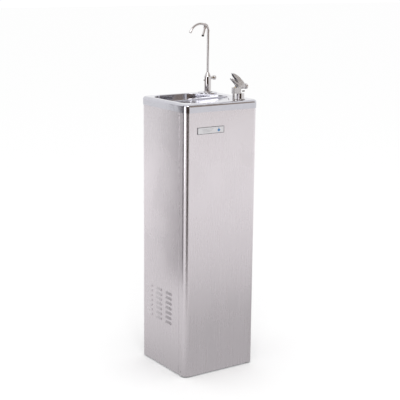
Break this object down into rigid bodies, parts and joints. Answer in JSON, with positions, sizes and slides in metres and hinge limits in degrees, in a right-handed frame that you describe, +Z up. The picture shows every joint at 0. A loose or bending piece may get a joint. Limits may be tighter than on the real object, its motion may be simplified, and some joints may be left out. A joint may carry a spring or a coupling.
{
  "type": "drinking fountain",
  "caption": "Floor-standing refrigerated drinking fountain: louvred steel cabinet, pressed basin top, guarded bubbler tap and tall swan-neck glass filler with lever.",
  "frame": {"origin": "centre of the footprint on the floor", "axes": "+X to the right of someone facing the front, +Y to the back, +Z up"},
  "size_m": [0.3144, 0.302, 1.2612],
  "materials": {
    "brushed_panel": "satin",
    "polished_pan": "polished",
    "galvanised": "matte",
    "chrome": "polished",
    "satin_cast": "satin",
    "bright_steel": "satin",
    "brass": "satin",
    "copper": "satin",
    "badge_metal": "satin",
    "black_rubber": "matte",
    "black_plastic": "matte",
    "black_paint": "satin",
    "fan_plastic": "matte",
    "drain_plastic": "satin",
    "foam": "matte",
    "condenser_fins": "satin"
  },
  "bodies": {
    "cabinet": {"badge_plate": "badge_metal", "base_tray": "galvanised", "basin_frame": "galvanised", "basin_strainer": "bright_steel", "bubbler_column": "chrome", "bubbler_feed_tube": "chrome", "bubbler_guard": "satin_cast", "bubbler_nozzle": "brass", "bubbler_spring": "bright_steel", "bubbler_water_line": "copper", "cold_tank": "bright_steel", "compressor": "black_paint", "compressor_mounts": "black_rubber", "condenser": "condenser_fins", "connection_plate": "galvanised", "discharge_line": "copper", "drain_pipe": "drain_plastic", "evaporator_coil": "copper", "fan_motor": "black_paint", "fan_shroud": "galvanised", "filler_column": "chrome", "filler_gland_nut": "chrome", "filler_spring": "bright_steel", "filler_water_line": "copper", "filter_drier": "copper", "foot_pads": "black_rubber", "foot_studs": "bright_steel", "front_cover": "brushed_panel", "front_left_post": "galvanised", "front_right_post": "galvanised", "inlet_fitting": "brass", "left_side_panel": "brushed_panel", "panel_screws": "bright_steel", "power_inlet": "black_plastic", "rear_left_post": "galvanised", "rear_panel": "brushed_panel", "rear_right_post": "galvanised", "right_side_panel": "brushed_panel", "suction_line": "copper", "supply_pipe": "copper", "tank_insulation": "foam", "tank_shelf": "galvanised", "tap_set_screws": "bright_steel", "tap_shank_nuts": "brass", "thermostat_body": "black_plastic", "top_basin": "polished_pan", "waste_fitting": "bright_steel", "waste_nut": "drain_plastic"},
    "bubbler_push": {"bubbler_button": "chrome", "bubbler_valve_stem": "brass"},
    "filler_push": {"filler_button": "chrome", "filler_valve_stem": "brass"},
    "swan": {"swan_neck": "chrome", "filler_spout_tip": "chrome", "trigger_knuckle": "chrome", "trigger_pin": "bright_steel"},
    "trigger": {"trigger_lever": "chrome", "trigger_tip": "black_rubber"},
    "fan": {"fan_blade": "fan_plastic"},
    "thermostat_dial": {"thermostat_knob": "black_plastic"}
  },
  "joints": [
    {"name": "bubbler_button_press", "type": "slide", "parent": "cabinet", "child": "bubbler_push", "axis": [-1, 0, 0], "range_m": [0, 0.0035], "stiffness_N_per_m": 500, "springref_m": -0.003, "deforming": ["bubbler_spring"]},
    {"name": "filler_button_press", "type": "slide", "parent": "cabinet", "child": "filler_push", "axis": [-1, 0, 0], "range_m": [0, 0.0035], "stiffness_N_per_m": 500, "springref_m": -0.003, "deforming": ["filler_spring"]},
    {"name": "swan_neck_swivel", "type": "hinge", "parent": "cabinet", "child": "swan", "pos_m": [0.107, 0.104, 1.07], "axis": [0, 0, 1], "range_deg": [-20, 70]},
    {"name": "trigger_push", "type": "hinge", "parent": "swan", "child": "trigger", "pos_m": [0.0919, 0.104, 1.24149], "axis": [0, -1, 0], "range_deg": [0, 14], "stiffness_Nm_per_rad": 0.05, "springref_deg": -8.59},
    {"name": "fan_spin", "type": "hinge", "parent": "cabinet", "child": "fan", "pos_m": [-0.0988, 0.026, 0.2409], "axis": [1, 0, 0], "continuous": true},
    {"name": "thermostat_turn", "type": "hinge", "parent": "cabinet", "child": "thermostat_dial", "pos_m": [-0.082, 0.128, 0.132], "axis": [0, -1, 0], "range_deg": [0, 270]}
  ]
}
